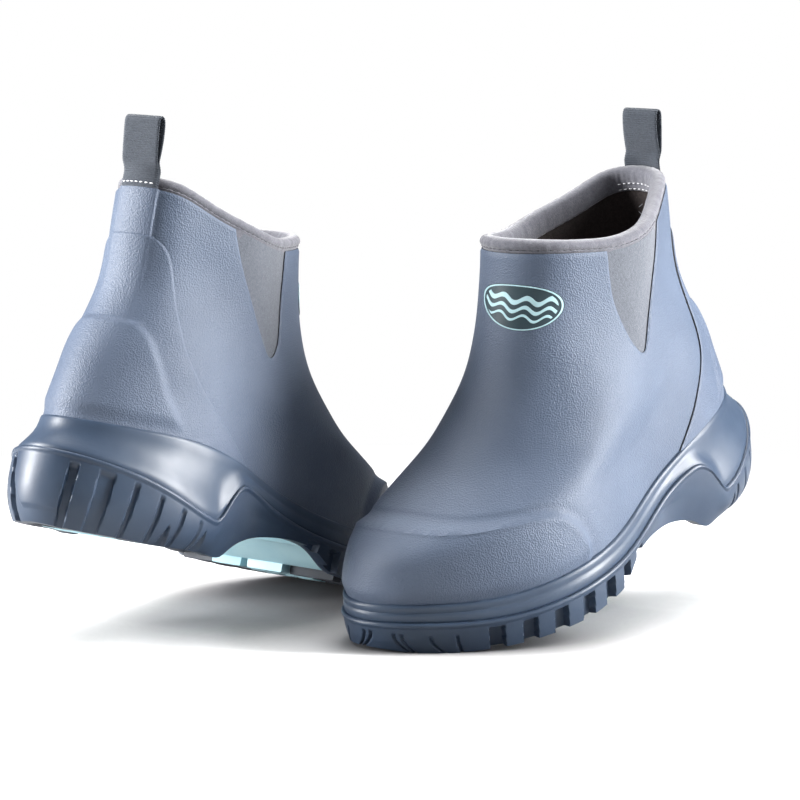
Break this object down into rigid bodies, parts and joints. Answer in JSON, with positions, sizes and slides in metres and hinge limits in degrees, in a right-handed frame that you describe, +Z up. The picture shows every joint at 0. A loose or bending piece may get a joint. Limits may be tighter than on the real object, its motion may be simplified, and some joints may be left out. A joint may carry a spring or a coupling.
{
  "type": "deck boots",
  "caption": "Pair of ankle-high slip-on deck boots with side gussets, rolled collar, pull loop at the heel, wraparound rand and lugged sole.",
  "frame": {"origin": "centre of the pair's footprint on the floor, under the middle of the bounding box", "axes": "+Z up; +X along the longest side of the pair, from the right boot's heel side to the left boot's; the right boot points its toe to +X+Y and the left boot to -X-Y, both heels lifted"},
  "size_m": [0.3872, 0.2664, 0.2678],
  "materials": {
    "upper_rubber": "pebbled blue-grey rubber coating on neoprene, soft sheen",
    "overlay_rubber": "pebbled blue-grey rubber, black cut edge",
    "emblem_print": "printed pale aqua badge on dark teal, satin",
    "gusset_neoprene": "fine grey stretch jersey on neoprene",
    "stiffener_board": "thermoformed stiffener sheet",
    "lining_neoprene": "dark brown-black brushed jersey",
    "insole_board": "fibre board",
    "footbed_foam": "dark cloth on foam",
    "binding_neoprene": "grey-mauve rolled stretch jersey",
    "webbing": "ribbed dark grey grosgrain",
    "rand_rubber": "smooth slate-blue rubber, satin",
    "outsole_rubber": "smooth slate-blue rubber, satin",
    "tread_core_rubber": "pale aqua rubber, matt",
    "shank_steel": "sprung steel strip",
    "midsole_foam": "foamed rubber"
  },
  "bodies": {
    "left_boot": {"left_back_strip": "overlay_rubber", "left_collar_binding": "binding_neoprene", "left_counter_stiffener": "stiffener_board", "left_emblem": "emblem_print", "left_footbed": "footbed_foam", "left_heel_overlay": "overlay_rubber", "left_insole_board": "insole_board", "left_lateral_gusset": "gusset_neoprene", "left_lining": "lining_neoprene", "left_loop_anchor": "webbing", "left_medial_gusset": "gusset_neoprene", "left_midsole": "midsole_foam", "left_outsole": "outsole_rubber", "left_rand": "rand_rubber", "left_shank": "shank_steel", "left_toe_puff": "stiffener_board", "left_tread_core": "tread_core_rubber", "left_upper_shell": "upper_rubber"},
    "right_boot": {"right_back_strip": "overlay_rubber", "right_collar_binding": "binding_neoprene", "right_counter_stiffener": "stiffener_board", "right_emblem": "emblem_print", "right_footbed": "footbed_foam", "right_heel_overlay": "overlay_rubber", "right_insole_board": "insole_board", "right_lateral_gusset": "gusset_neoprene", "right_lining": "lining_neoprene", "right_loop_anchor": "webbing", "right_medial_gusset": "gusset_neoprene", "right_midsole": "midsole_foam", "right_outsole": "outsole_rubber", "right_rand": "rand_rubber", "right_shank": "shank_steel", "right_toe_puff": "stiffener_board", "right_tread_core": "tread_core_rubber", "right_upper_shell": "upper_rubber"},
    "left_loop": {"left_pull_loop": "webbing"},
    "right_loop": {"right_pull_loop": "webbing"}
  },
  "joints": [
    {"name": "right_boot_lift", "type": "slide", "parent": "left_boot", "child": "right_boot", "axis": [0, 0, 1], "range_m": [0, 0.35]},
    {"name": "left_loop_swing", "type": "hinge", "parent": "left_boot", "child": "left_loop", "pos_m": [0.1284, 0.03466, 0.24005], "axis": [0.7688, -0.6386, -0.0321], "range_deg": [-50, 90], "stiffness_Nm_per_rad": 0.02},
    {"name": "right_loop_swing", "type": "hinge", "parent": "right_boot", "child": "right_loop", "pos_m": [-0.12441, -0.06012, 0.23811], "axis": [-0.8423, 0.5368, 0.0491], "range_deg": [-50, 90], "stiffness_Nm_per_rad": 0.02}
  ]
}
